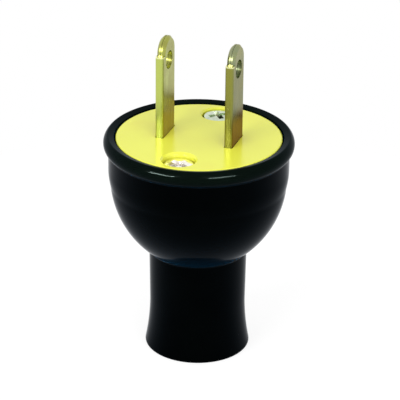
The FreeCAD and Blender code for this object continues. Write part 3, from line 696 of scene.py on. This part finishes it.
binding = turn_piece("terminal_screws",
                     screw_section(BINDING_RADIUS, BINDING_LENGTH, COARSE_PITCH, BINDING_HEAD, BINDING_CROWN),
                     SCREW_SIDES, brass_from_lathe, thread=(BINDING_THREAD, COARSE_PITCH))
half = BINDING_SLOT[0] / 2
reach = BINDING_HEAD[0] + SLOT_OVERSHOOT
slot = tapered_cutter("slot", [(-half, -reach), (half, -reach), (half, reach), (-half, reach)],
                      BINDING_HEAD[1] + SLOT_RISE, BINDING_HEAD[1] - BINDING_SLOT[1], 1.0)
combine(binding, slot, "DIFFERENCE")
set_pair(binding, (-BINDING_PLACE, 0.0, TERMINAL_HEIGHT), (2 * BINDING_PLACE, 0.0, 0.0), brass_from_lathe,
         lean=(0.0, -90.0, 0.0), turn=180.0)
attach(binding, "root")
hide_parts("terminal_screw_left", "terminal_screw_right")

# Assembly screws: two cross-recessed steel screws with bright zinc plate.
# They go down the recesses of the face plate into the inserts and hold the whole plug together.
# The front one is driven deeper than the rear one.

SCREW_RADIUS = 1.42
SCREW_HEAD = (2.65, 1.75, 0.25)
SCREW_CROWN = 0.15
CROSS_SPAN = 3.6
CROSS_WIDTH = 1.0
CROSS_DEPTH = 1.3
CROSS_RISE = 0.1
CROSS_SHRINK = 0.7
CROSS_TURN_FRONT = 62.0
CROSS_TURN_REAR = -22.0
SCREW_THREAD = 0.28
SCREW_DIVIDE = 1.0
# Depths below the head's top where the painted shade starts and where it is full.
SHADE_START_DEPTH = 0.4
SHADE_FULL_DEPTH = 1.2


def zinc_plate():
    """Bright zinc on steel: a silver that is almost a mirror, clean on the front screw.

    On the rear screw it is duller in soft cloudy patches, and painted a little green: a painted reflection.
    Painted shade darkens the cross and the sides of the heads, more so further down and on the rear screw.
    """
    material, tree, place = new_material("bright_zinc_plate")
    where = add_node(tree, "ShaderNodeSeparateXYZ", {0: place}).outputs
    top = add_node(tree, "ShaderNodeMapRange",
                   {"Value": where["Y"], "From Min": -SCREW_DIVIDE * MM, "From Max": SCREW_DIVIDE * MM,
                    "To Min": (SCREW_SEATS["front"] + SCREW_HEAD[1]) * MM,
                    "To Max": (SCREW_SEATS["rear"] + SCREW_HEAD[1]) * MM})
    depth = add_node(tree, "ShaderNodeMath", {0: top.outputs[0], 1: where["Z"]}, operation="SUBTRACT")
    rear = add_node(tree, "ShaderNodeMapRange",
                    {"Value": where["Y"], "From Min": -SCREW_DIVIDE * MM, "From Max": SCREW_DIVIDE * MM,
                     "To Min": 0.0, "To Max": 1.0})
    shade_strength = add_node(tree, "ShaderNodeMapRange", {"Value": rear.outputs[0], "To Min": 0.3, "To Max": 1.0})
    # Painted shade: darker with depth below the head's top, in the cross and down the sides of the heads.
    screw_shade = add_node(tree, "ShaderNodeMapRange",
                    {"Value": depth.outputs[0], "From Min": SHADE_START_DEPTH * MM, "From Max": SHADE_FULL_DEPTH * MM,
                     "To Min": 0.0, "To Max": shade_strength.outputs[0]}, interpolation_type="SMOOTHSTEP")
    cloud = add_node(tree, "ShaderNodeTexNoise",
                     {"Vector": place, "Scale": per_metre(0.8), "Detail": 4.0})
    # The green in the rear screw's colours is a painted reflection of the yellow face, and its cloudy
    # dullness is random wear.
    dull = add_node(tree, "ShaderNodeMix",
                    {0: cloud.outputs["Fac"], 6: linear("#A6B29A"), 7: linear("#E6F2DC")}, data_type="RGBA")
    tint = add_node(tree, "ShaderNodeMix",
                    {0: rear.outputs[0], 6: linear("#FAF7F4"), 7: dull.outputs[2]}, data_type="RGBA")
    with_painted_shade = add_node(tree, "ShaderNodeMix",
                      {0: screw_shade.outputs[0], 6: tint.outputs[2], 7: linear("#5E594C")}, data_type="RGBA")
    gloss = add_node(tree, "ShaderNodeMapRange",
                     {"Value": cloud.outputs["Fac"], "To Min": 0.12, "To Max": 0.30})
    shader = add_node(tree, "ShaderNodeBsdfPrincipled",
                      {"Base Color": with_painted_shade.outputs[2], "Metallic": 1.0, "Roughness": gloss.outputs[0]})
    close_material(tree, shader)
    return material


plated = zinc_plate()
screws = turn_piece("assembly_screws",
                    screw_section(SCREW_RADIUS, SCREW_LENGTH, FINE_PITCH, SCREW_HEAD, SCREW_CROWN),
                    SCREW_SIDES, plated, thread=(SCREW_THREAD, FINE_PITCH))
wing = CROSS_WIDTH / 2
span = CROSS_SPAN / 2
cross = tapered_cutter("cross", [(wing, wing), (wing, span), (-wing, span), (-wing, wing), (-span, wing),
                                 (-span, -wing), (-wing, -wing), (-wing, -span), (wing, -span), (wing, -wing),
                                 (span, -wing), (span, wing)],
                       SCREW_HEAD[1] + CROSS_RISE, SCREW_HEAD[1] - CROSS_DEPTH, CROSS_SHRINK)
combine(screws, cross, "DIFFERENCE")
set_pair(screws, (0.0, -SCREW_OFFSET, SCREW_SEATS["front"]),
         (0.0, 2 * SCREW_OFFSET, SCREW_SEATS["rear"] - SCREW_SEATS["front"]), plated,
         lean=(0.0, 0.0, CROSS_TURN_FRONT), turn=CROSS_TURN_REAR)
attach(screws, "root")
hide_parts("assembly_screw_front", "assembly_screw_rear")

# Stage: a white board under the plug, a white surround and two long lamps in front.
# The board glows a little where it is looked at, so that it is white and still takes the shadow.
# Two low strips light the shell alone, and draw the highlights on its lip.

BOARD_RADIUS = 92.0 * MM
BOARD_GAP = 0.02 * MM
BOARD_GLOW = 0.80
BOARD_SHARE = 0.25
BOARD_SIDES = 96


def toward(azimuth, elevation):
    """The direction from the plug to a place at those angles in degrees, azimuth 0 being in front."""
    a, e = math.radians(azimuth), math.radians(elevation)
    return Vector((math.sin(a) * math.cos(e), -math.cos(a) * math.cos(e), math.sin(e)))


def shown_to(tree):
    """1 for what the eye sees straight on, mirrored or through glass, and 0 for light that only fills."""
    path = add_node(tree, "ShaderNodeLightPath").outputs
    direct = add_node(tree, "ShaderNodeMath", {0: path["Is Camera Ray"], 1: path["Is Glossy Ray"]},
                      operation="MAXIMUM")
    return add_node(tree, "ShaderNodeMath", {0: direct.outputs[0], 1: path["Is Transmission Ray"]},
                    operation="MAXIMUM").outputs[0]


def white_board():
    """White studio board: white to the eye and in reflections, and shaded by the plug."""
    material, tree, _ = new_material("white_studio_board")
    plain = add_node(tree, "ShaderNodeBsdfDiffuse", {"Color": linear("#E6E6E6")})
    glow = add_node(tree, "ShaderNodeEmission", {"Strength": BOARD_GLOW})
    share = add_node(tree, "ShaderNodeBsdfDiffuse", {"Color": [BOARD_SHARE] * 3 + [1.0]})
    shown = add_node(tree, "ShaderNodeAddShader", {0: share.outputs[0], 1: glow.outputs[0]})
    mixed = add_node(tree, "ShaderNodeMixShader",
                     {0: shown_to(tree), 1: plain.outputs[0], 2: shown.outputs[0]})
    close_material(tree, mixed)
    return material


ground = bmesh.new()
bmesh.ops.create_circle(ground, cap_ends=True, segments=BOARD_SIDES, radius=BOARD_RADIUS)
board_mesh = bpy.data.meshes.new("board")
ground.to_mesh(board_mesh)
ground.free()
board_mesh.materials.append(white_board())
board_mesh.transform(Matrix.Translation((0.0, 0.0, -BOARD_GAP)))
board = new_piece("board", board_mesh)

SURROUND_FILL = 0.74

world = bpy.data.worlds.new("white_surround")
bpy.context.scene.world = world
world.use_nodes = True
sky = world.node_tree
sky.nodes.clear()
strength = add_node(sky, "ShaderNodeMix", {0: shown_to(sky), 2: SURROUND_FILL, 3: 1.0})
surround = add_node(sky, "ShaderNodeBackground",
                    {"Color": linear("#FFFFFF"), "Strength": strength.outputs[0]})
add_node(sky, "ShaderNodeOutputWorld", {"Surface": surround.outputs[0]})

FACE_CENTRE = Vector((0.0, 0.0, FACE_HEIGHT * MM))
LAMP_DISTANCE = 0.60
LAMPS = {
    "lamp_left": dict(azimuth=-23.0, elevation=25.0, width=0.36, height=0.07, power=1.7, lights_all=True),
    "lamp_right": dict(azimuth=42.0, elevation=25.0, width=0.34, height=0.07, power=1.2, lights_all=True),
    "strip_left": dict(azimuth=-24.0, elevation=13.0, width=0.32, height=0.05, power=45.0, lights_all=False),
    "strip_right": dict(azimuth=45.0, elevation=13.0, width=0.32, height=0.05, power=28.0, lights_all=False),
}

shell_only = bpy.data.collections.new("shell_only")
shell_only.objects.link(shell)
for name, lamp in LAMPS.items():
    light = bpy.data.lights.new(name, "AREA")
    light.shape = "RECTANGLE"
    light.size = lamp["width"]
    light.size_y = lamp["height"]
    light.energy = lamp["power"]
    holder = bpy.data.objects.new(name, light)
    aim = toward(lamp["azimuth"], lamp["elevation"])
    holder.location = FACE_CENTRE + aim * LAMP_DISTANCE
    holder.rotation_mode = "QUATERNION"
    holder.rotation_quaternion = aim.to_track_quat("Z", "Y")
    holder.visible_camera = False
    if not lamp["lights_all"]:
        holder.visible_diffuse = False
        holder.light_linking.receiver_collection = shell_only
    bpy.context.scene.collection.objects.link(holder)

# Camera: a long lens from in front and above, a little to the right, turned by half a degree.

VIEW_AZIMUTH = 18.71
VIEW_ELEVATION = 23.55
VIEW_DISTANCE = 379.7 * MM
AIM_HEIGHT = 28.05 * MM
AIM_SIDE = 0.28 * MM
ROLL = 0.594
SENSOR_WIDTH = 36.0
FOCAL_LENGTH = 194.6

camera = bpy.data.cameras.new("camera")
camera.sensor_width = SENSOR_WIDTH
camera.lens = FOCAL_LENGTH
camera.clip_start = 0.01
viewer = bpy.data.objects.new("camera", camera)
viewer.location = FACE_CENTRE + toward(VIEW_AZIMUTH, VIEW_ELEVATION) * VIEW_DISTANCE
sideways = toward(VIEW_AZIMUTH + 90.0, 0.0)
looking = Vector((0.0, 0.0, AIM_HEIGHT)) + sideways * AIM_SIDE - viewer.location
viewer.rotation_mode = "QUATERNION"
viewer.rotation_quaternion = (looking.to_track_quat("-Z", "Y")
                              @ Quaternion((0.0, 0.0, 1.0), math.radians(ROLL)))
bpy.context.scene.collection.objects.link(viewer)
bpy.context.scene.camera = viewer
bpy.context.scene.view_settings.view_transform = "Standard"
